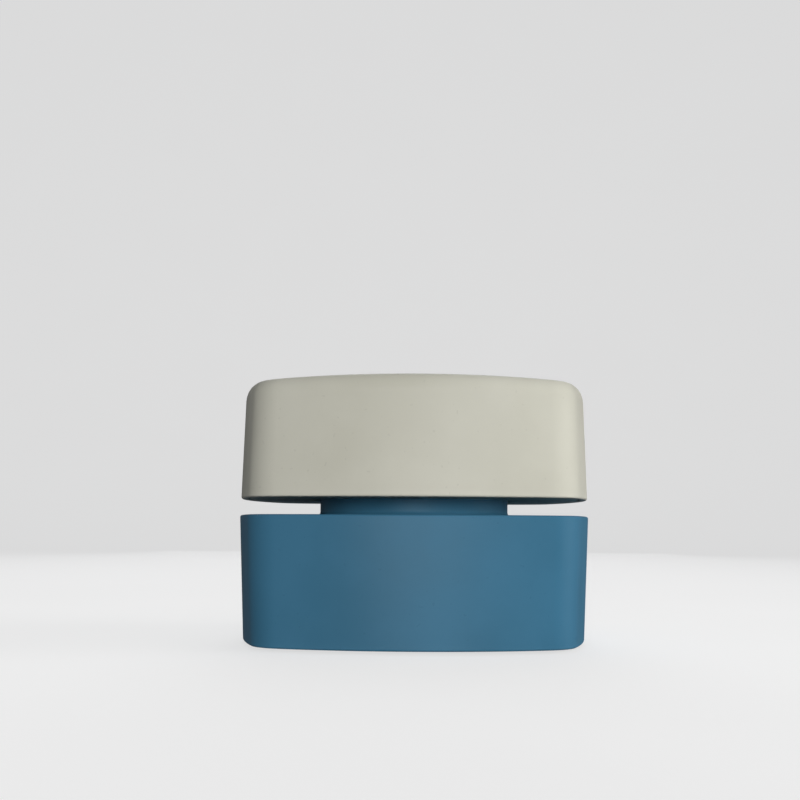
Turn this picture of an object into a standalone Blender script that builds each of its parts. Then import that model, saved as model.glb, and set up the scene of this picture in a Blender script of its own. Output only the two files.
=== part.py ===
"""Pill crusher: a screw-down tablet crusher in two soft-square halves.

Metres, +Z up. The origin is the middle of the plane that the foot pads stand on, and -Y is the front.
The base holds the threaded cup that the tablet lies in. The cap screws down on the cup's neck, and the
ribbed face of its post crushes the tablet against the cup's ribbed floor.
"""

import math

import bmesh
import bpy
from mathutils import Matrix

NAME = "pill_crusher"

# Outside of the two halves
HALF_WIDTH = 0.0350
SIDE_RADIUS = 0.0800
CORNER_RADIUS = 0.0090
DRAFT = math.radians(2.0)
FOOT_STAND = 0.0005
BASE_TOP = 0.0248
CAP_BOTTOM = 0.0280
CAP_TOP = 0.0517
DOME_RADIUS = 0.3600
CAP_SETBACK = 0.0002
CAP_HALF_WIDTH = HALF_WIDTH - CAP_SETBACK
CAP_FILLET = 0.0024
BASE_FOOT_RADIUS = 0.0006
RIM_RADIUS = 0.0004
WALL = 0.0022
CLEARANCE = 0.0003

# The decks that close the two halves round their threads
LIP = 0.0014
DECK = 0.0022
BOSS_CENTRE = 0.0203
BOSS_RADIUS = 0.0034
PEG_RADIUS = 0.0016
PEG_LENGTH = 0.0060

# Cup, neck and thread
WELL_FLOOR = 0.0144
WELL_FLOOR_RADIUS = 0.0147
WELL_MOUTH_RADIUS = 0.0152
WELL_CORNER = 0.0015
CUP_FLOOR = 0.0026
NECK_TOP = 0.0398
NECK_RADIUS = 0.0192
LEAD_IN = 0.0008
THREAD_LEAD = 0.0056
THREAD_RIDGE = 0.0013
THREAD_START = 0.0300
THREAD_TURNS = 1.5
THREAD_TIP_SHARE = 0.35

# Inside of the cap
CORE_BORE_RADIUS = 0.0209
CORE_WALL = 0.0022
CORE_PLATE_BOTTOM = 0.0436
CORE_PLATE = 0.0024
POST_RADIUS = 0.0143
POST_WALL = 0.0022
POST_FLOOR = 0.0030
POST_FACE = 0.01915
POST_EDGE = 0.0010
SPIGOT_WALL = 0.0018
SPIGOT_LENGTH = 0.0090
SEAL_RADIUS = 0.0171
SEAL_SECTION = 0.0009
SEAL_CENTRE = 0.0439

# Crushing ribs on the cup's floor and on the post's face
RIB_COUNT = 8
RIB_RADIUS = 0.0008
RIB_INNER = 0.0062
RIB_OUTER_GAP = 0.0012

# Foot pads
PAD_CENTRE = 0.0195
PAD_RADIUS = 0.0045
PAD_HEIGHT = 0.0016

# Fineness of round shapes
ROUND_STEPS = 60
ARC_STEPS = 8
THREAD_STEPS = 36
THREAD_FADE_STEPS = 6
THREAD_BEVEL_STEPS = 1
SMALL_STEPS = 16
RIB_SIDES = 12
PAD_STEPS = 28
FILLET_STEPS = 5
FOOT_RADIUS_STEPS = 3
RIM_RADIUS_STEPS = 2
DOME_SCALES = (0.75, 0.5, 0.25)
SEAL_SIDES = 8

# Colours as linear red, green and blue, each with its roughness
WHITE_PLASTIC = ((0.62, 0.61, 0.53), 0.38)
TEAL_PLASTIC = ((0.055, 0.19, 0.29), 0.36)
CLEAR_SILICONE = ((0.55, 0.58, 0.58), 0.55)
GREY_RUBBER = ((0.09, 0.10, 0.11), 0.75)

# Working allowances: what is welded together, how far a cutter passes its surface, where a curve turns sharp
MERGE = 0.00001
CUT_OVER = 0.0010
SHARP_ANGLE = math.radians(30.0)


def clear_scene():
    """Remove every object that the scene starts with."""
    for item in list(bpy.data.objects):
        bpy.data.objects.remove(item, do_unlink=True)


def new_collection(name):
    """Add a collection to the scene and return it."""
    collection = bpy.data.collections.new(name)
    bpy.context.scene.collection.children.link(collection)
    return collection


def new_material(name, colour, roughness):
    """A moulded plastic or rubber of one colour."""
    material = bpy.data.materials.new(name)
    material.use_nodes = True
    shader = material.node_tree.nodes["Principled BSDF"]
    shader.inputs["Base Color"].default_value = (*colour, 1.0)
    shader.inputs["Roughness"].default_value = roughness
    shader.inputs["Metallic"].default_value = 0.0
    return material


def add_object(name, mesh, collection):
    """Put a mesh into a new object in the collection."""
    item = bpy.data.objects.new(name, mesh)
    collection.objects.link(item)
    return item


def apply_modifiers(item):
    """Keep the object's evaluated mesh as its own mesh."""
    graph = bpy.context.evaluated_depsgraph_get()
    mesh = bpy.data.meshes.new_from_object(item.evaluated_get(graph))
    item.modifiers.clear()
    item.data = mesh


def boolean(item, tool, operation):
    """Cut a tool out of an object, or join it on, and remove the tool."""
    modifier = item.modifiers.new("boolean", "BOOLEAN")
    modifier.object = tool
    modifier.operation = operation
    modifier.solver = "EXACT"
    apply_modifiers(item)
    bpy.data.objects.remove(tool, do_unlink=True)


def cut(item, tool):
    """Subtract the tool."""
    boolean(item, tool, "DIFFERENCE")


def join(item, tool):
    """Unite the tool."""
    boolean(item, tool, "UNION")


def arc(centre, radius, start, stop, steps):
    """Points of an arc in the XY plane, without its last point."""
    points = []
    for step in range(steps):
        angle = start + (stop - start) * step / steps
        x = centre[0] + radius * math.cos(angle)
        y = centre[1] + radius * math.sin(angle)
        points.append((x, y))
    return points


def soft_square(half_width, inset=0.0):
    """Outline of a square with bowed sides and round corners, moved inward by the inset."""
    bow = SIDE_RADIUS - HALF_WIDTH
    reach = SIDE_RADIUS - CORNER_RADIUS
    corner = (math.sqrt(2.0 * reach**2 - bow**2) - bow) / 2.0
    turn = math.atan2(corner, corner + bow)
    shrink = HALF_WIDTH - half_width + inset
    points = []
    for quarter in range(4):
        facing = quarter * math.pi / 2.0
        side_centre = (-bow * math.cos(facing), -bow * math.sin(facing))
        diagonal = facing + math.pi / 4.0
        corner_reach = corner * math.sqrt(2.0)
        corner_centre = (corner_reach * math.cos(diagonal), corner_reach * math.sin(diagonal))
        side_start = facing - turn
        corner_start = facing + turn
        corner_stop = facing + math.pi / 2.0 - turn
        points += arc(side_centre, SIDE_RADIUS - shrink, side_start, corner_start, ARC_STEPS)
        points += arc(corner_centre, CORNER_RADIUS - shrink, corner_start, corner_stop, ARC_STEPS)
    return points


def square_block(name, levels, collection):
    """A soft-square solid grown upward: each level is (height, half width, inset, scale)."""
    mesh = bpy.data.meshes.new(name)
    grow = bmesh.new()
    place = grow.verts.layers.int.new("place")
    height, half_width, inset, scale = levels[0]
    ring = []
    for index, (x, y) in enumerate(soft_square(half_width, inset)):
        vert = grow.verts.new((x * scale, y * scale, height))
        vert[place] = index
        ring.append(vert)
    bottom = grow.faces.new(ring)
    top = bottom
    for height, half_width, inset, scale in levels[1:]:
        below = top
        raised = bmesh.ops.extrude_face_region(grow, geom=[below])
        top = next(piece for piece in raised["geom"] if isinstance(piece, bmesh.types.BMFace))
        if below is not bottom:
            grow.faces.remove(below)
        outline = soft_square(half_width, inset)
        for vert in top.verts:
            x, y = outline[vert[place]]
            vert.co = (x * scale, y * scale, height)
    bmesh.ops.poke(grow, faces=[top])
    bmesh.ops.recalc_face_normals(grow, faces=grow.faces)
    grow.to_mesh(mesh)
    grow.free()
    return add_object(name, mesh, collection)


def turned(name, profile, collection, steps=ROUND_STEPS):
    """A closed ring or a solid of revolution from (radius, height) points."""
    mesh = bpy.data.meshes.new(name)
    on_axis = profile[0][0] == 0.0
    count = len(profile)
    edges = [(index, index + 1) for index in range(count - 1)]
    if not on_axis:
        edges.append((count - 1, 0))
    mesh.from_pydata([(radius, 0.0, height) for radius, height in profile], edges, [])
    item = add_object(name, mesh, collection)
    screw = item.modifiers.new("turn", "SCREW")
    screw.steps = steps
    screw.render_steps = steps
    screw.use_merge_vertices = True
    screw.merge_threshold = MERGE
    screw.use_smooth_shade = False
    apply_modifiers(item)
    face_out(item.data)
    return item


def face_out(mesh):
    """Weld a closed mesh and turn its faces outward."""
    weld = bmesh.new()
    weld.from_mesh(mesh)
    bmesh.ops.remove_doubles(weld, verts=weld.verts, dist=MERGE)
    bmesh.ops.recalc_face_normals(weld, faces=weld.faces)
    weld.to_mesh(mesh)
    weld.free()


def rod(name, centre, radius, bottom, top, collection, steps=SMALL_STEPS):
    """An upright cylinder from bottom to top."""
    mesh = bpy.data.meshes.new(name)
    build = bmesh.new()
    middle = Matrix.Translation((centre[0], centre[1], (bottom + top) / 2.0))
    bmesh.ops.create_cone(
        build,
        cap_ends=True,
        segments=steps,
        radius1=radius,
        radius2=radius,
        depth=top - bottom,
        matrix=middle,
    )
    build.to_mesh(mesh)
    build.free()
    return add_object(name, mesh, collection)


def helix_ridge(name, radius, start, turns, phase, collection):
    """A right-hand helical ridge of round section that fades in and out at its ends."""
    curve = bpy.data.curves.new(name, "CURVE")
    curve.dimensions = "3D"
    curve.bevel_depth = THREAD_RIDGE
    curve.bevel_resolution = THREAD_BEVEL_STEPS
    curve.use_fill_caps = True
    spline = curve.splines.new("POLY")
    count = round(turns * THREAD_STEPS) + 1
    spline.points.add(count - 1)
    for index, point in enumerate(spline.points):
        along = index / THREAD_STEPS
        angle = phase + along * 2.0 * math.pi
        height = start + along * THREAD_LEAD
        point.co = (radius * math.cos(angle), radius * math.sin(angle), height, 1.0)
        from_end = min(index, count - 1 - index)
        grown = min(1.0, from_end / THREAD_FADE_STEPS)
        point.radius = THREAD_TIP_SHARE + (1.0 - THREAD_TIP_SHARE) * grown
    source = bpy.data.objects.new(name + "_curve", curve)
    collection.objects.link(source)
    graph = bpy.context.evaluated_depsgraph_get()
    mesh = bpy.data.meshes.new_from_object(source.evaluated_get(graph))
    face_out(mesh)
    bpy.data.objects.remove(source, do_unlink=True)
    return add_object(name, mesh, collection)


def crushing_rib(name, angle, outer, height, collection):
    """A round bar that lies radially at the given height."""
    mesh = bpy.data.meshes.new(name)
    build = bmesh.new()
    length = outer - RIB_INNER
    middle = (outer + RIB_INNER) / 2.0
    lie_down = Matrix.Rotation(math.pi / 2.0, 4, "Y")
    place = Matrix.Translation((middle, 0.0, height))
    turn = Matrix.Rotation(angle, 4, "Z")
    bmesh.ops.create_cone(
        build,
        cap_ends=True,
        segments=RIB_SIDES,
        radius1=RIB_RADIUS,
        radius2=RIB_RADIUS,
        depth=length,
        matrix=turn @ place @ lie_down,
    )
    build.to_mesh(mesh)
    build.free()
    return add_object(name, mesh, collection)


def add_crushing_ribs(item, outer, height, phase, cutters):
    """Join a ring of radial ribs onto a crushing surface."""
    for index in range(RIB_COUNT):
        angle = phase + index * 2.0 * math.pi / RIB_COUNT
        join(item, crushing_rib("rib", angle, outer, height, cutters))


def bearing_ring(bottom, top, collection):
    """An upright ring that carries the crushing push into a half's outer wall."""
    outer = WELL_FLOOR_RADIUS
    profile = [(outer, top), (outer, bottom), (outer - WALL, bottom), (outer - WALL, top)]
    return turned("bearing_ring", profile, collection)


def corner_places(reach):
    """The four corner points at the same distance along X and Y."""
    return [(x * reach, y * reach) for x in (-1, 1) for y in (-1, 1)]


def finish(item, material):
    """Give a finished piece its material and smooth its round faces."""
    item.data.materials.clear()
    item.data.materials.append(material)
    item.data.shade_smooth()
    item.data.set_sharp_from_angle(angle=SHARP_ANGLE)
    item.data.name = item.name


def base_half_width(height):
    """Half width of the base's outside, which narrows downward."""
    return HALF_WIDTH - (BASE_TOP - height) * math.tan(DRAFT)


def cap_half_width(height):
    """Half width of the cap's outside, which narrows upward."""
    return CAP_HALF_WIDTH - (height - CAP_BOTTOM) * math.tan(DRAFT)


def fillet_levels(half_width_at, height, radius, steps, upward):
    """Levels that round a drafted block's edge at the given end height."""
    levels = []
    for step in range(steps + 1):
        angle = step / steps * math.pi / 2.0
        if upward:
            rise = radius * math.sin(angle)
            inset = radius * (1.0 - math.cos(angle))
            level = height - radius + rise
        else:
            rise = radius * (1.0 - math.cos(angle))
            inset = radius * (1.0 - math.sin(angle))
            level = height + rise
        levels.append((level, half_width_at(level), inset, 1.0))
    return levels


def dome_drop(radius):
    """How far the cap's domed top lies below its middle at this distance from the axis."""
    return radius**2 / (2.0 * DOME_RADIUS)


def dome_levels(height, half_width, inset):
    """Levels that divide a block's top into rings, so that it can be domed."""
    return [(height, half_width, inset, scale) for scale in DOME_SCALES]


def crown(item, above):
    """Lower everything above a height by the dome's drop."""
    for vert in item.data.vertices:
        if vert.co.z > above - MERGE:
            vert.co.z -= dome_drop(math.hypot(vert.co.x, vert.co.y))


def base_shell(parts, cutters):
    """The teal box that is held in the hand: open at the top, with bosses that carry the cup."""
    bottom = FOOT_STAND
    rounded_foot = fillet_levels(base_half_width, bottom, BASE_FOOT_RADIUS, FOOT_RADIUS_STEPS, False)
    rounded_rim = fillet_levels(base_half_width, BASE_TOP, RIM_RADIUS, RIM_RADIUS_STEPS, True)
    shell = square_block("base_shell", rounded_foot + rounded_rim, parts)

    inner_floor = bottom + WALL
    ledge = BASE_TOP - DECK - CLEARANCE
    hollow_levels = [
        (inner_floor, base_half_width(inner_floor), WALL, 1.0),
        (ledge, base_half_width(ledge), WALL, 1.0),
        (ledge, base_half_width(ledge), LIP, 1.0),
        (BASE_TOP + CUT_OVER, HALF_WIDTH, LIP, 1.0),
    ]
    cut(shell, square_block("hollow", hollow_levels, cutters))

    for place in corner_places(BOSS_CENTRE):
        join(shell, rod("boss", place, BOSS_RADIUS, inner_floor - WALL / 2.0, ledge, cutters))
    for place in corner_places(BOSS_CENTRE):
        hole_bottom = ledge - PEG_LENGTH - CUT_OVER
        cut(shell, rod("hole", place, PEG_RADIUS + CLEARANCE, hole_bottom, BASE_TOP, cutters))

    ring_top = WELL_FLOOR - CUP_FLOOR - CLEARANCE
    join(shell, bearing_ring(inner_floor - WALL / 2.0, ring_top, cutters))

    for place in corner_places(PAD_CENTRE):
        recess_top = PAD_HEIGHT + CLEARANCE
        cut(shell, rod("recess", place, PAD_RADIUS + CLEARANCE, -CUT_OVER, recess_top, cutters, PAD_STEPS))
    return shell


def foot_pads(parts):
    """Four round pads, each in its own recess under the base."""
    pads = []
    sides = {-1: "left", 1: "right"}
    ends = {-1: "front", 1: "back"}
    for x in (-1, 1):
        for y in (-1, 1):
            place = (x * PAD_CENTRE, y * PAD_CENTRE)
            name = "foot_pad_" + ends[y] + "_" + sides[x]
            pads.append(rod(name, place, PAD_RADIUS, 0.0, PAD_HEIGHT, parts, PAD_STEPS))
    return pads


def crushing_cup(parts, cutters):
    """The threaded neck, the well with its ribbed floor, and the deck that closes the base."""
    deck_bottom = BASE_TOP - DECK
    cup_bottom = WELL_FLOOR - CUP_FLOOR
    skirt = WELL_FLOOR_RADIUS + WALL
    corner_sag = WELL_CORNER * (1.0 - math.sqrt(0.5))
    profile = [
        (0.0, WELL_FLOOR),
        (WELL_FLOOR_RADIUS - WELL_CORNER, WELL_FLOOR),
        (WELL_FLOOR_RADIUS - corner_sag, WELL_FLOOR + corner_sag),
        (WELL_FLOOR_RADIUS, WELL_FLOOR + WELL_CORNER),
        (WELL_MOUTH_RADIUS, NECK_TOP - LEAD_IN),
        (WELL_MOUTH_RADIUS + LEAD_IN, NECK_TOP),
        (NECK_RADIUS - LEAD_IN, NECK_TOP),
        (NECK_RADIUS, NECK_TOP - LEAD_IN),
        (NECK_RADIUS, deck_bottom + DECK / 2.0),
        (NECK_RADIUS, deck_bottom - DECK),
        (skirt, deck_bottom - DECK * 2.0),
        (skirt, cup_bottom),
        (0.0, cup_bottom),
    ]
    cup = turned("crushing_cup", profile, parts)

    deck_levels = [
        (deck_bottom, HALF_WIDTH, LIP + CLEARANCE, 1.0),
        (BASE_TOP, HALF_WIDTH, LIP + CLEARANCE, 1.0),
    ]
    deck = square_block("deck", deck_levels, cutters)
    cut(deck, rod("bore", (0.0, 0.0), NECK_RADIUS - CLEARANCE, 0.0, CAP_TOP, cutters, ROUND_STEPS))
    join(cup, deck)
    for place in corner_places(BOSS_CENTRE):
        join(cup, rod("peg", place, PEG_RADIUS, deck_bottom - PEG_LENGTH, deck_bottom + DECK / 2.0, cutters))

    join(cup, helix_ridge("thread", NECK_RADIUS, THREAD_START, THREAD_TURNS, 0.0, cutters))
    add_crushing_ribs(cup, WELL_FLOOR_RADIUS - RIB_OUTER_GAP, WELL_FLOOR, 0.0, cutters)
    return cup


def cap_shell(parts, cutters):
    """The white outer cap: drafted sides, a round top edge and a slightly domed top."""
    rounded_rim = fillet_levels(cap_half_width, CAP_BOTTOM, RIM_RADIUS, RIM_RADIUS_STEPS, False)
    rounded_top = fillet_levels(cap_half_width, CAP_TOP, CAP_FILLET, FILLET_STEPS, True)
    top_half_width = cap_half_width(CAP_TOP)
    outer_levels = rounded_rim + rounded_top + dome_levels(CAP_TOP, top_half_width, CAP_FILLET)
    shell = square_block("cap_shell", outer_levels, parts)
    crown(shell, CAP_TOP - CAP_FILLET)

    ledge = CAP_BOTTOM + DECK + CLEARANCE
    ceiling = CAP_TOP - WALL
    ceiling_inset = WALL + CAP_FILLET / 2.0
    hollow_levels = [
        (CAP_BOTTOM - CUT_OVER, CAP_HALF_WIDTH, LIP, 1.0),
        (ledge, cap_half_width(ledge), LIP, 1.0),
        (ledge, cap_half_width(ledge), WALL, 1.0),
        (ceiling - CAP_FILLET / 2.0, cap_half_width(ceiling), WALL, 1.0),
        (ceiling, cap_half_width(ceiling), ceiling_inset, 1.0),
    ]
    hollow_levels += dome_levels(ceiling, cap_half_width(ceiling), ceiling_inset)
    hollow = square_block("hollow", hollow_levels, cutters)
    crown(hollow, ceiling - CAP_FILLET / 2.0)
    cut(shell, hollow)
    boss_top = ceiling + WALL / 2.0 - dome_drop(math.hypot(BOSS_CENTRE, BOSS_CENTRE))
    for place in corner_places(BOSS_CENTRE):
        join(shell, rod("boss", place, BOSS_RADIUS, ledge, boss_top, cutters))
    for place in corner_places(BOSS_CENTRE):
        hole_top = ledge + PEG_LENGTH + CUT_OVER
        cut(shell, rod("hole", place, PEG_RADIUS + CLEARANCE, CAP_BOTTOM, hole_top, cutters))

    ring_bottom = CORE_PLATE_BOTTOM + CORE_PLATE + CLEARANCE
    join(shell, bearing_ring(ring_bottom, ceiling + WALL / 2.0, cutters))
    return shell


def cap_core(parts, cutters):
    """The threaded collar inside the cap, with its closing deck, top plate and post spigot."""
    plate_top = CORE_PLATE_BOTTOM + CORE_PLATE
    collar = CORE_BORE_RADIUS + CORE_WALL
    spigot = POST_RADIUS - POST_WALL - CLEARANCE
    groove_top = SEAL_CENTRE + SEAL_SECTION + CLEARANCE
    groove_inner = SEAL_RADIUS - SEAL_SECTION - CLEARANCE
    groove_outer = SEAL_RADIUS + SEAL_SECTION + CLEARANCE
    profile = [
        (0.0, plate_top),
        (collar, plate_top),
        (collar, CAP_BOTTOM),
        (CORE_BORE_RADIUS + LEAD_IN, CAP_BOTTOM),
        (CORE_BORE_RADIUS, CAP_BOTTOM + LEAD_IN),
        (CORE_BORE_RADIUS, CORE_PLATE_BOTTOM),
        (groove_outer, CORE_PLATE_BOTTOM),
        (groove_outer, groove_top),
        (groove_inner, groove_top),
        (groove_inner, CORE_PLATE_BOTTOM),
        (spigot, CORE_PLATE_BOTTOM),
        (spigot, CORE_PLATE_BOTTOM - SPIGOT_LENGTH),
        (spigot - SPIGOT_WALL, CORE_PLATE_BOTTOM - SPIGOT_LENGTH),
        (spigot - SPIGOT_WALL, CORE_PLATE_BOTTOM),
        (0.0, CORE_PLATE_BOTTOM),
    ]
    core = turned("cap_core", profile, parts)

    deck_top = CAP_BOTTOM + DECK
    deck_levels = [
        (CAP_BOTTOM, CAP_HALF_WIDTH, LIP + CLEARANCE, 1.0),
        (deck_top, cap_half_width(deck_top), LIP + CLEARANCE, 1.0),
    ]
    deck = square_block("deck", deck_levels, cutters)
    bore_radius = CORE_BORE_RADIUS + CORE_WALL / 2.0
    cut(deck, rod("bore", (0.0, 0.0), bore_radius, 0.0, CAP_TOP, cutters, ROUND_STEPS))
    join(core, deck)
    for place in corner_places(BOSS_CENTRE):
        join(core, rod("peg", place, PEG_RADIUS, CAP_BOTTOM + DECK / 2.0, deck_top + PEG_LENGTH, cutters))

    half_turn = math.pi
    join(core, helix_ridge("thread", CORE_BORE_RADIUS, THREAD_START, THREAD_TURNS, half_turn, cutters))
    return core


def crusher_post(parts, cutters):
    """The hollow post on the core's spigot, closed below by its ribbed crushing face."""
    top = CORE_PLATE_BOTTOM - CLEARANCE
    inner = POST_RADIUS - POST_WALL
    profile = [
        (0.0, POST_FACE + POST_FLOOR),
        (inner, POST_FACE + POST_FLOOR),
        (inner, top),
        (POST_RADIUS, top),
        (POST_RADIUS, POST_FACE + POST_EDGE),
        (POST_RADIUS - POST_EDGE, POST_FACE),
        (0.0, POST_FACE),
    ]
    post = turned("crusher_post", profile, parts)
    half_step = math.pi / RIB_COUNT
    rib_outer = POST_RADIUS - RIB_OUTER_GAP - POST_EDGE / 2.0
    add_crushing_ribs(post, rib_outer, POST_FACE, half_step, cutters)
    return post


def seal_ring(parts):
    """The soft ring in the core's groove that the neck's rim closes against."""
    profile = []
    for side in range(SEAL_SIDES):
        angle = -2.0 * math.pi * side / SEAL_SIDES
        radius = SEAL_RADIUS + SEAL_SECTION * math.cos(angle)
        profile.append((radius, SEAL_CENTRE + SEAL_SECTION * math.sin(angle)))
    return turned("seal_ring", profile, parts)


def main():
    """Build the crusher."""
    clear_scene()
    parts = new_collection(NAME)
    cutters = new_collection("cutters")
    white = new_material("warm_white_plastic", *WHITE_PLASTIC)
    teal = new_material("teal_plastic", *TEAL_PLASTIC)
    silicone = new_material("clear_silicone", *CLEAR_SILICONE)
    rubber = new_material("grey_rubber", *GREY_RUBBER)

    finish(base_shell(parts, cutters), teal)
    finish(crushing_cup(parts, cutters), teal)
    for pad in foot_pads(parts):
        finish(pad, rubber)
    finish(cap_shell(parts, cutters), white)
    finish(cap_core(parts, cutters), white)
    finish(crusher_post(parts, cutters), white)
    finish(seal_ring(parts), silicone)
    bpy.data.collections.remove(cutters)


main()
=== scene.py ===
"""The looks of a screw-down tablet crusher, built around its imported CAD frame.

Every piece is a smooth closed form that stands for one CAD node and sits where that node sits. Metres, +Z up.
"""

import math

import bmesh
import bpy
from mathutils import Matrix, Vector


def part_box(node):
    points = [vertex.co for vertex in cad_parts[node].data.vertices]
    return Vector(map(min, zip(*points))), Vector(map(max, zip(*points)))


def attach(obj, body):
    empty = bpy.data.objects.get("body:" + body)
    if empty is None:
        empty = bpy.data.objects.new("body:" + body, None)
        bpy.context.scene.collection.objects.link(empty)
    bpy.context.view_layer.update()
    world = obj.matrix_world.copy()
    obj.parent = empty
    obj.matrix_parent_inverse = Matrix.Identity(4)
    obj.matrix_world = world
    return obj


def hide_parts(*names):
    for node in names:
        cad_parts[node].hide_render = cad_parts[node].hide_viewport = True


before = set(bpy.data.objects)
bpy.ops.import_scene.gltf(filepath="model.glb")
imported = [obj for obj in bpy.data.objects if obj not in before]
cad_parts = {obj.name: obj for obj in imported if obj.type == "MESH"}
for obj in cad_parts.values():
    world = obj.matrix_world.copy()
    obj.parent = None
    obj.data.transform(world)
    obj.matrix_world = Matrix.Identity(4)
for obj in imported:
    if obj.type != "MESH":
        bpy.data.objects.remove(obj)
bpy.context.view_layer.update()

TAU = 2.0 * math.pi

# Soft-square plan that both halves share, as in the CAD
HALF_WIDTH = 0.0350
SIDE_RADIUS = 0.0800
CORNER_RADIUS = 0.0090
BOW = SIDE_RADIUS - HALF_WIDTH
REACH = SIDE_RADIUS - CORNER_RADIUS
CORNER = (math.sqrt(2.0 * REACH**2 - BOW**2) - BOW) / 2.0
TURN = math.atan2(CORNER, CORNER + BOW)
SLOPE = math.tan(math.radians(2.0))

# Shells
CAP_SETBACK = 0.0002
WALL = 0.0022
LIP = 0.0014
DECK = 0.0022
CLEARANCE = 0.0003
CAP_EDGE_DOWN = 0.0028
CAP_EDGE_ACROSS = 0.0018
CAP_INNER_EDGE = 0.0026
CAP_DOME_MARGIN = 0.0005
DOME_RADIUS = 0.3600
FOOT_EASE = 0.0004
RIM_EASE = 0.0004
LIP_EASE = 0.00015
DECK_EASE = 0.0002

# Cup, thread and ribs
WELL_FLOOR = 0.0144
WELL_FLOOR_RADIUS = 0.0147
WELL_MOUTH_RADIUS = 0.0152
WELL_EASE = 0.0015
CUP_FLOOR = 0.0026
NECK_RADIUS = 0.0192
LEAD_IN = 0.0008
THREAD_LEAD = 0.0056
THREAD_RIDGE = 0.0013
THREAD_START = 0.0300
THREAD_TURNS = 1.5
THREAD_CREST = 0.00042
THREAD_FOOT = 0.00125
THREAD_FADE = 0.15
THREAD_SLIMMEST = 0.35
NECK_FILLET = 0.0009
RIB_COUNT = 8
RIB_RADIUS = 0.0008
RIB_CREST = 0.00012
RIB_INNER = 0.0062
RIB_OUTER_GAP = 0.0012

# Inside of the cap
CORE_BORE_RADIUS = 0.0209
CORE_WALL = 0.0022
CORE_PLATE_BOTTOM = 0.0436
CORE_PLATE = 0.0024
POST_RADIUS = 0.0143
POST_WALL = 0.0022
POST_FLOOR = 0.0030
POST_FACE = 0.01915
POST_EASE = 0.0010
SPIGOT_WALL = 0.0018
SPIGOT_LENGTH = 0.0090
SEAL_RADIUS = 0.0171
SEAL_SECTION = 0.0009
SEAL_CENTRE = 0.0439
SEAL_SQUEEZE = 0.00005
MOULD_LINE = 0.00004

# Foot pads
PAD_CENTRE = 0.0195
PAD_RADIUS = 0.0045
PAD_GROOVE = 0.00018

# Fineness
SIDE_STEPS = 26
CORNER_STEPS = 14
SECTOR_STEPS = 30
SECTOR_EVENNESS = 0.42
EASE_STEPS = 5
TURNED_STEPS = 64
PAD_STEPS = 56
SEAL_STEPS = 120
SEAL_SECTION_STEPS = 24
ROW_SPACING = 0.0035
WELL_SPACING = 0.0016
THREAD_SPACING = 0.00017
RIB_SPACING = 0.00026
INWARD = (0.88, 0.72, 0.54, 0.36, 0.18, 0.06)
RIB_INWARD = (0.85, 0.6, 0.35, 0.12)
DECK_SHARES = (0.25, 0.5, 0.75, 0.93)
NEAR_AXIS = 0.0020
RUN_ON = 0.0001
SHARP_ANGLE = math.radians(38.0)
MERGE = 0.000005


def smooth(share):
    """A soft step from 0 to 1."""
    share = min(1.0, max(0.0, share))
    return share * share * (3.0 - 2.0 * share)


# ---------------------------------------------------------------- outlines and profiles


def toward(angle):
    """The level direction at an angle round the axis."""
    return Vector((math.cos(angle), math.sin(angle)))


def soft_square(shrink):
    """The soft-square outline moved inward, as points with even steps along its arcs."""
    points = []
    for quarter in range(4):
        facing = quarter * math.pi / 2.0
        side_centre = -BOW * toward(facing)
        corner_centre = CORNER * math.sqrt(2.0) * toward(facing + math.pi / 4.0)
        corner_start = facing + TURN
        corner_turn = math.pi / 2.0 - 2.0 * TURN
        for step in range(SIDE_STEPS):
            angle = facing - TURN + 2.0 * TURN * step / SIDE_STEPS
            points.append(side_centre + (SIDE_RADIUS - shrink) * toward(angle))
        for step in range(CORNER_STEPS):
            angle = corner_start + corner_turn * step / CORNER_STEPS
            points.append(corner_centre + (CORNER_RADIUS - shrink) * toward(angle))
    return points


def soft_reach(angle, shrink):
    """How far the shrunk soft-square outline lies from the axis in one direction."""
    folded = (angle + math.pi / 4.0) % (math.pi / 2.0) - math.pi / 4.0
    side = SIDE_RADIUS - shrink
    switch = math.atan2(side * math.sin(TURN), side * math.cos(TURN) - BOW)
    if abs(folded) <= switch:
        return math.sqrt(side**2 - (BOW * math.sin(folded)) ** 2) - BOW * math.cos(folded)
    aside = math.pi / 4.0 - abs(folded)
    middle = CORNER * math.sqrt(2.0)
    corner = CORNER_RADIUS - shrink
    return middle * math.cos(aside) + math.sqrt(corner**2 - (middle * math.sin(aside)) ** 2)


def rounded(profile):
    """A profile with round corners: each item is (across, up, round).

    The round is the tangent length on both sides of the corner, or a pair of them, before and after it.
    """
    points = []
    last = len(profile) - 1
    for index, (across, up, size) in enumerate(profile):
        here = Vector((across, up))
        if size == 0.0 or index in (0, last):
            points.append(here)
            continue
        size_before, size_after = size if isinstance(size, tuple) else (size, size)
        before = Vector(profile[index - 1][:2]) - here
        after = Vector(profile[index + 1][:2]) - here
        weight = math.cos((math.pi - before.angle(after)) / 2.0)
        start = here + before.normalized() * size_before
        stop = here + after.normalized() * size_after
        for step in range(EASE_STEPS + 1):
            t = step / EASE_STEPS
            shares = ((1.0 - t) ** 2, 2.0 * weight * t * (1.0 - t), t * t)
            point = shares[0] * start + shares[1] * here + shares[2] * stop
            points.append(point / sum(shares))
    return points


def filled(points, spacing):
    """The same profile with no step longer than the spacing."""
    dense = [points[0]]
    for start, stop in zip(points, points[1:]):
        count = max(1, math.ceil((stop - start).length / spacing - MERGE))
        for step in range(1, count + 1):
            dense.append(start.lerp(stop, step / count))
    return dense


# ---------------------------------------------------------------- meshes


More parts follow.
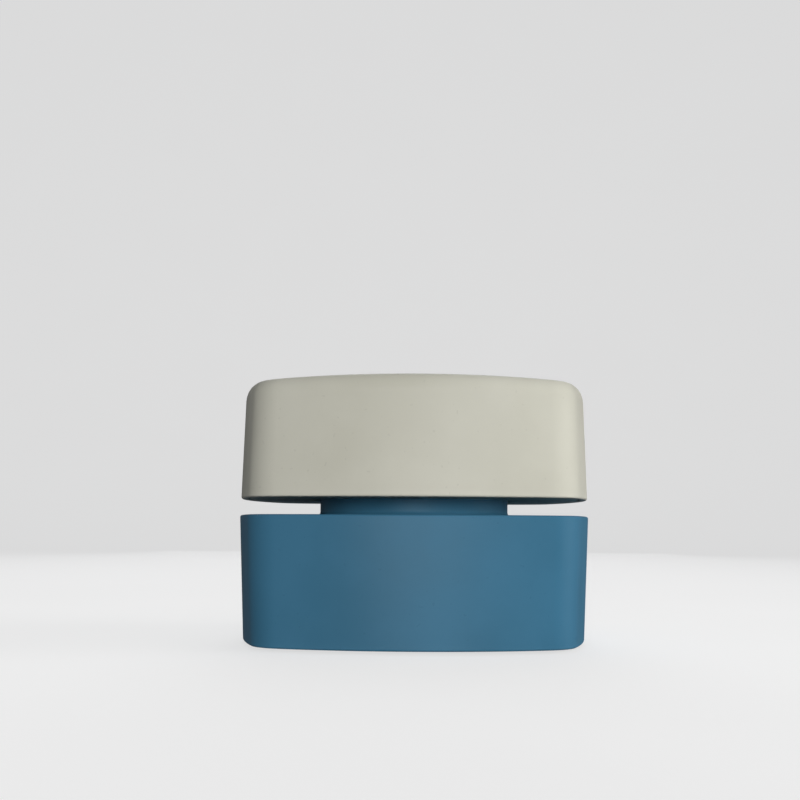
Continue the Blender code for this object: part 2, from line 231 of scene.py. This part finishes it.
def skin(name, rings, start_up=None, stop_up=None):
    """A closed surface through rings of points, closed at poles on the axis, or end to end without them."""
    count = len(rings[0])
    points = [tuple(point) for ring in rings for point in ring]
    faces = []
    pairs = list(zip(range(len(rings)), range(1, len(rings))))
    if start_up is None:
        pairs.append((len(rings) - 1, 0))
    for low, high in pairs:
        for index in range(count):
            after = (index + 1) % count
            lower = (low * count + index, low * count + after)
            upper = (high * count + after, high * count + index)
            faces.append(lower + upper)
    if start_up is not None:
        points += [(0.0, 0.0, start_up), (0.0, 0.0, stop_up)]
        for ring, pole in ((0, len(points) - 2), (len(rings) - 1, len(points) - 1)):
            for index in range(count):
                faces.append((ring * count + index, ring * count + (index + 1) % count, pole))
    mesh = bpy.data.meshes.new(name)
    mesh.from_pydata(points, [], faces)
    tidy(mesh)
    item = bpy.data.objects.new(name, mesh)
    bpy.context.scene.collection.objects.link(item)
    return item


def tidy(mesh):
    """Weld the mesh and turn its faces outward."""
    work = bmesh.new()
    work.from_mesh(mesh)
    bmesh.ops.remove_doubles(work, verts=work.verts, dist=MERGE)
    bmesh.ops.recalc_face_normals(work, faces=work.faces)
    work.to_mesh(mesh)
    work.free()


def applied(item):
    """Keep the object's evaluated mesh as its own."""
    graph = bpy.context.evaluated_depsgraph_get()
    mesh = bpy.data.meshes.new_from_object(item.evaluated_get(graph))
    item.modifiers.clear()
    item.data = mesh
    mesh.name = item.name


def cut_out(item, tool):
    """Cut the tool out of the item and remove the tool."""
    modifier = item.modifiers.new("cut_out", "BOOLEAN")
    modifier.object = tool
    modifier.operation = "DIFFERENCE"
    modifier.solver = "EXACT"
    applied(item)
    bpy.data.objects.remove(tool, do_unlink=True)


def turned(name, profile, place, steps=TURNED_STEPS):
    """A turned solid from a round-cornered profile that starts and ends on its own upright axis."""
    centre = Vector(place)
    rows = filled(rounded(profile), ROW_SPACING)
    rings = []
    for row in rows[1:-1]:
        circle = [centre + row.x * toward(TAU * step / steps) for step in range(steps)]
        rings.append([(point.x, point.y, row.y) for point in circle])
    item = skin(name, rings, rows[0].y, rows[-1].y)
    for vert in item.data.vertices:
        if abs(vert.co.x) < MERGE and abs(vert.co.y) < MERGE:
            vert.co.x = place[0]
            vert.co.y = place[1]
    return item


def shaded(item):
    """Smooth faces with crisp corners, and normals that favour the large faces."""
    item.data.shade_smooth()
    item.data.set_sharp_from_angle(angle=SHARP_ANGLE)
    weigh = item.modifiers.new("weigh", "WEIGHTED_NORMAL")
    weigh.keep_sharp = True
    weigh.weight = 80
    applied(item)


def stand_for(item, node, body, material):
    """The item takes the node's place, rides on its body and wears the material."""
    shaded(item)
    item.data.materials.clear()
    item.data.materials.append(material)
    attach(item, body)
    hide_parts(node)


# ---------------------------------------------------------------- node materials


class Graph:
    """Short hand for a material's node tree."""

    def __init__(self, name):
        self.material = bpy.data.materials.new(name)
        self.material.use_nodes = True
        self.tree = self.material.node_tree
        self.shader = self.tree.nodes["Principled BSDF"]
        self.where = self.tree.nodes.new("ShaderNodeTexCoord").outputs["Object"]

    def add(self, kind, **values):
        """A node with some of its own settings."""
        node = self.tree.nodes.new("ShaderNode" + kind)
        for key, value in values.items():
            setattr(node, key, value)
        return node

    def link(self, source, target):
        """Join two sockets."""
        self.tree.links.new(source, target)

    def stretched(self, scale):
        """The object coordinates, scaled differently along each axis."""
        mapping = self.add("Mapping")
        mapping.inputs["Scale"].default_value = scale
        self.link(self.where, mapping.inputs["Vector"])
        return mapping.outputs["Vector"]

    def noise(self, scale, detail=2.0, rough=0.5, stretch=None):
        """Noise of about 1 / scale metres."""
        node = self.add("TexNoise")
        node.inputs["Scale"].default_value = scale
        node.inputs["Detail"].default_value = detail
        node.inputs["Roughness"].default_value = rough
        self.link(self.stretched(stretch) if stretch else self.where, node.inputs["Vector"])
        return node.outputs["Fac"]

    def ranged(self, source, low, high, to_low, to_high):
        """A value moved from one range to another."""
        node = self.add("MapRange")
        node.interpolation_type = "SMOOTHSTEP"
        for key, value in (("From Min", low), ("From Max", high), ("To Min", to_low), ("To Max", to_high)):
            node.inputs[key].default_value = value
        self.link(source, node.inputs["Value"])
        return node.outputs["Result"]

    def maths(self, operation, first, second):
        """Arithmetic on two sockets, or on a socket and a number."""
        node = self.add("Math", operation=operation)
        for socket, value in zip(node.inputs, (first, second)):
            if isinstance(value, float):
                socket.default_value = value
            else:
                self.link(value, socket)
        return node.outputs["Value"]

    def blended(self, share, first, second):
        """A colour between two others."""
        node = self.add("Mix", data_type="RGBA")
        self.link(share, node.inputs["Factor"])
        for key, value in (("A", first), ("B", second)):
            socket = next(s for s in node.inputs if s.name == key and s.type == "RGBA")
            if isinstance(value, tuple):
                socket.default_value = (*value, 1.0)
            else:
                self.link(value, socket)
        return next(s for s in node.outputs if s.type == "RGBA")

    def height(self):
        """The height above the table, in metres."""
        node = self.add("SeparateXYZ")
        self.link(self.where, node.inputs["Vector"])
        return node.outputs["Z"]

    def bumped(self, source, strength, distance, onto=None):
        """A bump over the surface or over another bump."""
        node = self.add("Bump")
        node.inputs["Strength"].default_value = strength
        node.inputs["Distance"].default_value = distance
        self.link(source, node.inputs["Height"])
        if onto is not None:
            self.link(onto, node.inputs["Normal"])
        return node.outputs["Normal"]


def moulded_plastic(name, colour, shade, tint, roughness, painted_rim_light_heights):
    """Satin moulded plastic: cloudy pigment, flow marks, fine grain, hairline rubs, and painted light that
    lightens its lower rims.
    """
    graph = Graph(name)
    shader = graph.shader
    cloud = graph.noise(55.0, 4.0, 0.55)
    flow = graph.noise(30.0, 3.0, 0.5, (1.0, 1.0, 0.22))
    grain = graph.noise(3600.0, 3.0, 0.6)
    rubs = graph.noise(900.0, 2.0, 0.5, (1.0, 1.0, 0.02))
    specks = graph.noise(1500.0, 0.0, 0.5)

    body = graph.blended(graph.ranged(cloud, 0.32, 0.68, 0.0, 1.0), shade, colour)
    body = graph.blended(graph.ranged(flow, 0.40, 0.72, 0.0, 0.55), body, tint)
    speck_share = graph.ranged(specks, 0.79, 0.83, 0.0, 0.16)
    body = graph.blended(speck_share, body, tuple(0.55 * part for part in colour))
    height = graph.height()
    # Painted light: a lighter band that fades out upward from each given height, for light catching the lower
    # rims
    for low, high in painted_rim_light_heights:
        near = graph.ranged(height, low, high, 0.45, 0.0)
        body = graph.blended(graph.maths("MULTIPLY", near, cloud), body, tint)
    graph.link(body, shader.inputs["Base Color"])

    rub_share = graph.ranged(rubs, 0.60, 0.74, 0.0, 0.04)
    rough = graph.ranged(flow, 0.30, 0.70, roughness - 0.04, roughness + 0.05)
    rough = graph.maths("ADD", rough, graph.ranged(cloud, 0.35, 0.65, -0.03, 0.03))
    rough = graph.maths("SUBTRACT", rough, rub_share)
    graph.link(rough, shader.inputs["Roughness"])

    waves = graph.bumped(flow, 0.35, 0.00012)
    fine = graph.bumped(grain, 0.30, 0.00003, waves)
    graph.link(graph.bumped(rubs, 0.05, 0.00001, fine), shader.inputs["Normal"])
    shader.inputs["IOR"].default_value = 1.49
    shader.inputs["Specular IOR Level"].default_value = 0.16
    return graph.material


def rubber(name, colour, shade, roughness):
    """Matt rubber with a grainy skin and some dust."""
    graph = Graph(name)
    cloud = graph.noise(260.0, 4.0, 0.6)
    grain = graph.noise(5200.0, 3.0, 0.7)
    dust = graph.noise(900.0, 3.0, 0.6)
    body = graph.blended(graph.ranged(cloud, 0.30, 0.70, 0.0, 1.0), shade, colour)
    dusty = tuple(0.20 + part for part in colour)
    body = graph.blended(graph.ranged(dust, 0.60, 0.80, 0.0, 0.25), body, dusty)
    graph.link(body, graph.shader.inputs["Base Color"])
    rough = graph.ranged(grain, 0.30, 0.70, roughness - 0.08, roughness + 0.08)
    graph.link(rough, graph.shader.inputs["Roughness"])
    graph.link(graph.bumped(grain, 0.45, 0.00006), graph.shader.inputs["Normal"])
    return graph.material


# The last argument gives the heights where painted light lightens the lower rims
WHITE = moulded_plastic(
    "warm_white_plastic", (0.640, 0.632, 0.545), (0.600, 0.592, 0.505), (0.700, 0.695, 0.615), 0.46,
    ((0.0278, 0.0294),),
)
TEAL = moulded_plastic(
    "teal_blue_plastic", (0.051, 0.182, 0.300), (0.044, 0.162, 0.266), (0.068, 0.212, 0.338), 0.44,
    ((0.0004, 0.0022),),
)
RUBBER = rubber("grey_rubber", (0.075, 0.080, 0.085), (0.045, 0.048, 0.052), 0.78)
SILICONE = rubber("clear_silicone", (0.56, 0.58, 0.56), (0.48, 0.50, 0.49), 0.42)


# ---------------------------------------------------------------- shells


def shell_rings(profile, half_width_at):
    """Soft-square rings through a profile of (inset, height, round)."""
    rings = []
    for row in filled(rounded(profile), ROW_SPACING):
        outline = soft_square(HALF_WIDTH - half_width_at(row.y) + row.x)
        rings.append([(point.x, point.y, row.y) for point in outline])
    return rings


def inward_rings(ring):
    """The ring drawn in towards the axis in steps, at its own height."""
    return [[(x * share, y * share, z) for x, y, z in ring] for share in INWARD]


def base_shell():
    """The teal outer base, hollow, with a lip that the cup's deck sits in."""
    low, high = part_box("base_shell")
    bottom, top = low.z, high.z

    def half_width(height):
        return HALF_WIDTH - (top - height) * SLOPE

    floor = bottom + WALL
    ledge = top - DECK - CLEARANCE
    profile = [
        (WALL + 0.0020, floor, 0.0),
        (WALL, floor, 0.0010),
        (WALL, ledge, 0.0),
        (LIP, ledge, 0.0),
        (LIP, top, LIP_EASE),
        (0.0, top, RIM_EASE),
        (0.0, bottom, FOOT_EASE),
        (0.0030, bottom, 0.0),
    ]
    rings = shell_rings(profile, half_width)
    rings = inward_rings(rings[0])[::-1] + rings + inward_rings(rings[-1])
    item = skin("base_housing", rings, floor, bottom)

    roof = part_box("foot_pad_front_left")[1].z + CLEARANCE
    reach = PAD_RADIUS + CLEARANCE
    for x in (-PAD_CENTRE, PAD_CENTRE):
        for y in (-PAD_CENTRE, PAD_CENTRE):
            cutter = turned("recess", [
                (0.0, bottom - 0.001, 0.0),
                (reach + 0.0012, bottom - 0.001, 0.0),
                (reach, bottom + 0.0002, 0.0),
                (reach, roof, 0.0002),
                (0.0, roof, 0.0),
            ], (x, y))
            cut_out(item, cutter)
    tidy(item.data)
    return item


def crowned(rings, start, full):
    """The rings lowered by the dome's drop: not at all at the start height, in full from the other."""
    lowered = []
    for ring in rings:
        share = min(1.0, max(0.0, (ring[0][2] - start) / (full - start)))
        lowered.append([(x, y, z - share * (x**2 + y**2) / (2.0 * DOME_RADIUS)) for x, y, z in ring])
    return lowered


def cap_shell():
    """The white cap: drafted sides, one soft edge all round its top and a shallow dome."""
    low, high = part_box("cap_shell")
    bottom, top = low.z, high.z

    def half_width(height):
        return HALF_WIDTH - CAP_SETBACK - (height - bottom) * SLOPE

    ledge = bottom + DECK + CLEARANCE
    ceiling = top - WALL
    profile = [
        (WALL + CAP_INNER_EDGE + 0.0010, ceiling, 0.0),
        (WALL, ceiling, CAP_INNER_EDGE),
        (WALL, ledge, 0.0),
        (LIP, ledge, 0.0),
        (LIP, bottom, LIP_EASE),
        (0.0, bottom, RIM_EASE),
        (0.0, top, (CAP_EDGE_DOWN, CAP_EDGE_ACROSS)),
        (CAP_EDGE_ACROSS + 0.0010, top, 0.0),
    ]
    rings = shell_rings(profile, half_width)
    rings = inward_rings(rings[0])[::-1] + rings + inward_rings(rings[-1])
    rings = crowned(rings, ledge, top - CAP_EDGE_DOWN - CAP_DOME_MARGIN)
    return skin("cap_housing", rings, ceiling, top)


# ---------------------------------------------------------------- turned pieces with threads and ribs


def sector_angles(phase=0.0):
    """Directions round the axis, closer together round each of the eight ribs."""
    sector = TAU / RIB_COUNT
    angles = []
    for rib in range(RIB_COUNT):
        for step in range(SECTOR_STEPS):
            off = 2.0 * step / SECTOR_STEPS - 1.0
            bent = SECTOR_EVENNESS * off + (1.0 - SECTOR_EVENNESS) * off**3
            angles.append(phase + sector * rib + sector / 2.0 * bent)
    return angles


def ridge(angle, height, phase):
    """How far the thread stands out of its wall."""
    best = 0.0
    for turn in range(math.ceil(THREAD_TURNS)):
        along = ((angle - phase) % TAU) / TAU + turn
        size = smooth(min(along, THREAD_TURNS - along) / THREAD_FADE)
        if size == 0.0:
            continue
        width = THREAD_SLIMMEST + (1.0 - THREAD_SLIMMEST) * size
        off = abs(height - THREAD_START - along * THREAD_LEAD) / width
        flank = smooth((off - THREAD_CREST) / (THREAD_FOOT - THREAD_CREST))
        best = max(best, THREAD_RIDGE * size * (1.0 - flank))
    return best


def rib_rise(radius, angle, phase, outer):
    """How far a crushing rib stands off its face."""
    sector = TAU / RIB_COUNT
    off = (angle - phase + sector / 2.0) % sector - sector / 2.0
    aside = radius * math.sin(off)
    out = radius * math.cos(off)
    beyond = max(RIB_INNER + RIB_RADIUS - out, 0.0, out - outer + RIB_RADIUS)
    distance = math.hypot(aside, beyond)
    return RIB_RADIUS * (1.0 - smooth((distance - RIB_CREST) / (RIB_RADIUS - RIB_CREST)))


def round_ring(angles, radius, height):
    """A level circle."""
    return [(radius * math.cos(angle), radius * math.sin(angle), height) for angle in angles]


def round_rings(angles, profile, spacing=ROW_SPACING):
    """Level circles through a round-cornered profile of (radius, height, round)."""
    return [round_ring(angles, row.x, row.y) for row in filled(rounded(profile), spacing)]


def thread_rings(angles, radius, low, high, phase, outward):
    """Circles up a wall that carries the thread, from low to high."""
    rings = []
    count = math.ceil(abs(high - low) / THREAD_SPACING)
    for step in range(count + 1):
        height = low + (high - low) * step / count
        ring = []
        for angle in angles:
            reach = radius + outward * ridge(angle, height, phase)
            ring.append((reach * math.cos(angle), reach * math.sin(angle), height))
        rings.append(ring)
    return rings


def ribbed_rings(angles, outer, height, phase, rib_outer, upward):
    """Circles across a crushing face, from its edge inward, that carry its ribs."""
    radii = []
    radius = outer
    while radius > RIB_INNER - RIB_RADIUS:
        radii.append(radius)
        radius -= RIB_SPACING
    radii += [radius * share for share in RIB_INWARD]
    rings = []
    for radius in radii:
        rings.append([
            (
                radius * math.cos(angle),
                radius * math.sin(angle),
                height + upward * rib_rise(radius, angle, phase, rib_outer),
            )
            for angle in angles
        ])
    return rings


def square_rings(angles, inner, shrink, height, shares):
    """Rings that pass from a circle to the soft-square outline."""
    rings = []
    for share in shares:
        ring = []
        for angle in angles:
            reach = inner * (1.0 - share) + soft_reach(angle, shrink) * share
            ring.append((reach * math.cos(angle), reach * math.sin(angle), height))
        rings.append(ring)
    return rings


def deck_rings(angles, shrink, near, far, inner):
    """The edge of a deck from its near face to its far face, with both faces."""
    step = math.copysign(DECK_EASE, far - near)
    rings = square_rings(angles, inner, shrink, near, DECK_SHARES)
    for share_in, height in (
        (1.0, near),
        (0.3, near + 0.3 * step),
        (0.0, near + step),
        (0.0, far - step),
        (0.3, far - 0.3 * step),
        (1.0, far),
    ):
        rings += square_rings(angles, inner, shrink + share_in * DECK_EASE, height, (1.0,))
    rings += square_rings(angles, inner, shrink, far, DECK_SHARES[::-1])
    return rings


def crushing_cup():
    """The well with its ribbed floor, the threaded neck round it and the deck that closes the base."""
    angles = sector_angles()
    deck_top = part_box("base_shell")[1].z
    neck_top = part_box("crushing_cup")[1].z
    deck_bottom = deck_top - DECK
    skirt = WELL_FLOOR_RADIUS + WALL
    rib_outer = WELL_FLOOR_RADIUS - RIB_OUTER_GAP
    shrink = LIP + CLEARANCE
    floor_edge = WELL_FLOOR_RADIUS - WELL_EASE
    thread_low = THREAD_START - THREAD_FOOT - 2.0 * RUN_ON
    deck_inner = NECK_RADIUS + 2.0 * NECK_FILLET
    rings = ribbed_rings(angles, floor_edge - RUN_ON, WELL_FLOOR, 0.0, rib_outer, 1.0)[::-1]
    rings += round_rings(angles, [
        (floor_edge, WELL_FLOOR, 0.0),
        (WELL_FLOOR_RADIUS, WELL_FLOOR, WELL_EASE * 0.98),
        (WELL_MOUTH_RADIUS, neck_top, LEAD_IN),
        (NECK_RADIUS, neck_top, LEAD_IN),
        (NECK_RADIUS, neck_top - LEAD_IN - 0.5 * RUN_ON, 0.0),
    ], WELL_SPACING)
    rings += thread_rings(angles, NECK_RADIUS, neck_top - LEAD_IN - RUN_ON, thread_low, 0.0, 1.0)
    rings += round_rings(angles, [
        (NECK_RADIUS, thread_low - 2.0 * RUN_ON, 0.0),
        (NECK_RADIUS, deck_top, NECK_FILLET),
        (deck_inner, deck_top, 0.0),
    ])
    rings += deck_rings(angles, shrink, deck_top, deck_bottom, deck_inner)
    rings += round_rings(angles, [
        (NECK_RADIUS + 0.0008, deck_bottom, 0.0),
        (NECK_RADIUS, deck_bottom, 0.0005),
        (NECK_RADIUS, deck_bottom - DECK, 0.0006),
        (skirt, deck_bottom - 2.0 * DECK, 0.0006),
        (skirt, WELL_FLOOR - CUP_FLOOR, 0.0008),
        (NEAR_AXIS, WELL_FLOOR - CUP_FLOOR, 0.0),
    ])
    return skin("cup_with_neck", rings, WELL_FLOOR, WELL_FLOOR - CUP_FLOOR)


def cap_core():
    """The threaded collar, with the deck that closes the cap, the seal's groove and the post's spigot."""
    angles = sector_angles()
    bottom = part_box("cap_shell")[0].z
    deck_top = bottom + DECK
    plate_top = CORE_PLATE_BOTTOM + CORE_PLATE
    collar = CORE_BORE_RADIUS + CORE_WALL
    spigot = POST_RADIUS - POST_WALL - CLEARANCE
    groove_top = SEAL_CENTRE + SEAL_SECTION + CLEARANCE
    groove_inner = SEAL_RADIUS - SEAL_SECTION - CLEARANCE
    groove_outer = SEAL_RADIUS + SEAL_SECTION + CLEARANCE
    shrink = CAP_SETBACK + LIP + CLEARANCE
    top_shrink = shrink + DECK * SLOPE
    thread_low = THREAD_START - THREAD_FOOT - RUN_ON
    thread_high = THREAD_START + THREAD_TURNS * THREAD_LEAD + THREAD_FOOT
    rings = round_rings(angles, [
        (NEAR_AXIS, plate_top, 0.0),
        (collar, plate_top, 0.0005),
        (collar, deck_top, 0.0004),
        (collar + 0.0008, deck_top, 0.0),
    ])
    rings += deck_rings(angles, top_shrink, deck_top, bottom, collar + 0.0008)
    rings += round_rings(angles, [
        (collar, bottom, 0.0),
        (CORE_BORE_RADIUS, bottom, 0.0005),
        (CORE_BORE_RADIUS, thread_low - RUN_ON, 0.0),
    ])
    rings += thread_rings(angles, CORE_BORE_RADIUS, thread_low, thread_high, math.pi, -1.0)
    rings += round_rings(angles, [
        (CORE_BORE_RADIUS, thread_high + RUN_ON, 0.0),
        (CORE_BORE_RADIUS, CORE_PLATE_BOTTOM, 0.0006),
        (groove_outer, CORE_PLATE_BOTTOM, 0.0002),
        (groove_outer, groove_top, 0.0003),
        (groove_inner, groove_top, 0.0003),
        (groove_inner, CORE_PLATE_BOTTOM, 0.0002),
        (spigot, CORE_PLATE_BOTTOM, 0.0003),
        (spigot, CORE_PLATE_BOTTOM - SPIGOT_LENGTH, 0.0004),
        (spigot - SPIGOT_WALL, CORE_PLATE_BOTTOM - SPIGOT_LENGTH, 0.0004),
        (spigot - SPIGOT_WALL, CORE_PLATE_BOTTOM, 0.0006),
        (NEAR_AXIS, CORE_PLATE_BOTTOM, 0.0),
    ])
    return skin("cap_collar", rings, plate_top, CORE_PLATE_BOTTOM)


def crusher_post():
    """The hollow post, closed below by its ribbed crushing face."""
    half_step = math.pi / RIB_COUNT
    angles = sector_angles(half_step)
    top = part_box("crusher_post")[1].z
    inner = POST_RADIUS - POST_WALL
    floor = POST_FACE + POST_FLOOR
    rib_outer = POST_RADIUS - RIB_OUTER_GAP - POST_EASE / 2.0
    face_edge = POST_RADIUS - POST_EASE - RUN_ON
    rings = round_rings(angles, [
        (NEAR_AXIS, floor, 0.0),
        (inner, floor, 0.0010),
        (inner, top, 0.0004),
        (POST_RADIUS, top, 0.0004),
        (POST_RADIUS, POST_FACE, POST_EASE),
        (face_edge, POST_FACE, 0.0),
    ])
    rings += ribbed_rings(angles, face_edge - RUN_ON, POST_FACE, half_step, rib_outer, -1.0)
    return skin("ribbed_post", rings, floor, POST_FACE)


def seal_ring():
    """The soft round ring, with the faint line its mould leaves round the outside."""
    angles = [TAU * step / SEAL_STEPS for step in range(SEAL_STEPS)]
    rings = []
    for side in range(SEAL_SECTION_STEPS):
        angle = TAU * side / SEAL_SECTION_STEPS
        flash = MOULD_LINE if side in (0, SEAL_SECTION_STEPS // 2) else 0.0
        reach = SEAL_SECTION - SEAL_SQUEEZE + flash
        radius = SEAL_RADIUS + reach * math.cos(angle)
        height = SEAL_CENTRE + reach * math.sin(angle)
        rings.append(round_ring(angles, radius, height))
    return skin("seal_gasket", rings)


def foot_pad(node):
    """A round pad with an eased edge and a shallow ring pressed into its face."""
    low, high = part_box(node)
    place = ((low.x + high.x) / 2.0, (low.y + high.y) / 2.0)
    radius = (high.x - low.x) / 2.0
    return turned(node.replace("foot_pad", "pad"), [
        (0.0, low.z, 0.0),
        (radius * 0.58, low.z, 0.0001),
        (radius * 0.61, low.z + PAD_GROOVE, 0.00012),
        (radius * 0.70, low.z + PAD_GROOVE, 0.00012),
        (radius * 0.73, low.z, 0.0001),
        (radius, low.z, 0.00035),
        (radius, high.z, 0.00015),
        (0.0, high.z, 0.0),
    ], place, PAD_STEPS)


stand_for(base_shell(), "base_shell", "base", TEAL)
stand_for(crushing_cup(), "crushing_cup", "base", TEAL)
stand_for(cap_shell(), "cap_shell", "cap", WHITE)
stand_for(cap_core(), "cap_core", "cap", WHITE)
stand_for(crusher_post(), "crusher_post", "cap", WHITE)
stand_for(seal_ring(), "seal_ring", "seal", SILICONE)
for side in ("front_left", "front_right", "back_left", "back_right"):
    node = "foot_pad_" + side
    stand_for(foot_pad(node), node, "base", RUBBER)


# ---------------------------------------------------------------- floor, light and camera


FLOOR_GAP = 0.0001
FLOOR_FLAT = 1.1
FLOOR_BEND = 0.7
BACKDROP_TOP = 2.2
FLOOR_STEPS = 96
BEND_STEPS = 12


def studio_floor():
    """A round pale sweep: flat under the object, turning up into a wall all round it."""
    rows = [(0.25, 0.0), (0.6, 0.0), (FLOOR_FLAT, 0.0)]
    for step in range(1, BEND_STEPS + 1):
        angle = math.pi / 2.0 * step / BEND_STEPS
        rows.append((FLOOR_FLAT + FLOOR_BEND * math.sin(angle), FLOOR_BEND * (1.0 - math.cos(angle))))
    rows.append((FLOOR_FLAT + FLOOR_BEND, BACKDROP_TOP))
    angles = [TAU * step / FLOOR_STEPS for step in range(FLOOR_STEPS)]
    points = [(0.0, 0.0, 0.0)]
    for radius, height in rows:
        points += round_ring(angles, radius, height)
    faces = []
    for step in range(FLOOR_STEPS):
        faces.append((0, 1 + step, 1 + (step + 1) % FLOOR_STEPS))
    for row in range(len(rows) - 1):
        start = 1 + row * FLOOR_STEPS
        for step in range(FLOOR_STEPS):
            after = (step + 1) % FLOOR_STEPS
            outer = start + FLOOR_STEPS
            faces.append((outer + step, outer + after, start + after, start + step))
    mesh = bpy.data.meshes.new("studio_floor")
    mesh.from_pydata(points, [], faces)
    mesh.shade_smooth()
    item = bpy.data.objects.new("studio_floor", mesh)
    item.location.z = -FLOOR_GAP
    bpy.context.scene.collection.objects.link(item)
    graph = Graph("pale_floor")
    cloud = graph.noise(9.0, 4.0, 0.6)
    body = graph.blended(graph.ranged(cloud, 0.3, 0.7, 0.0, 1.0), (0.34, 0.34, 0.34), (0.36, 0.36, 0.36))
    graph.link(body, graph.shader.inputs["Base Color"])
    graph.shader.inputs["Roughness"].default_value = 0.85
    graph.shader.inputs["Specular IOR Level"].default_value = 0.0
    graph.shader.inputs["Emission Color"].default_value = (1.0, 1.0, 1.0, 1.0)
    graph.shader.inputs["Emission Strength"].default_value = 0.66
    mesh.materials.append(graph.material)
    item.visible_diffuse = False
    item.visible_glossy = False


# The soft boxes: name, place, width and height, power in watts, colour, and whether the plastic mirrors it
LIGHTS = (
    ("room_front", (0.04, -0.95, 0.10), (0.50, 0.28), 0.78, (1.0, 0.995, 0.98), True),
    ("window_right", (0.62, -0.46, 0.50), (0.45, 0.60), 0.09, (1.0, 0.985, 0.96), True),
    ("room_right", (0.95, -0.06, 0.16), (0.50, 0.50), 0.82, (1.0, 0.99, 0.97), False),
    ("room_back", (0.0, 0.95, 0.16), (0.50, 0.40), 0.72, (0.98, 0.99, 1.0), False),
    ("ceiling", (0.0, 0.72, 0.72), (1.50, 1.00), 0.95, (0.98, 0.99, 1.0), True),
)
LIGHT_AIM = (0.0, 0.0, 0.026)
LIGHT_SPREAD = math.radians(60.0)


def soft_light(name, place, size, power, colour, mirrored):
    """A rectangular soft box aimed at the object."""
    light = bpy.data.lights.new(name, "AREA")
    light.shape = "RECTANGLE"
    light.size, light.size_y = size
    light.energy = power
    light.color = colour
    light.spread = LIGHT_SPREAD
    item = bpy.data.objects.new(name, light)
    item.location = place
    item.rotation_euler = (Vector(LIGHT_AIM) - Vector(place)).to_track_quat("-Z", "Y").to_euler()
    item.visible_camera = False
    item.visible_glossy = mirrored
    bpy.context.scene.collection.objects.link(item)


studio_floor()
for settings in LIGHTS:
    soft_light(*settings)

world = bpy.data.worlds.new("pale_room")
bpy.context.scene.world = world
world.use_nodes = True
background = world.node_tree.nodes["Background"]
background.inputs["Color"].default_value = (0.93, 0.95, 1.0, 1.0)
background.inputs["Strength"].default_value = 0.12

CAMERA_DISTANCE = 0.250
EYE_HEIGHT = 0.0220
LENS = 54.6
PITCH = math.radians(3.10)
YAW = math.radians(0.65)
ROLL = math.radians(-0.315)
SHIFT_UP = 0.0806

camera_data = bpy.data.cameras.new("camera")
camera_data.lens = LENS
camera_data.sensor_width = 36.0
camera_data.shift_y = SHIFT_UP
camera_data.clip_start = 0.01
camera = bpy.data.objects.new("camera", camera_data)
camera.location = (0.0, -CAMERA_DISTANCE, EYE_HEIGHT)
camera.rotation_euler = (math.pi / 2.0 + PITCH, ROLL, YAW)
bpy.context.scene.collection.objects.link(camera)
bpy.context.scene.camera = camera
bpy.context.scene.view_settings.view_transform = "Standard"
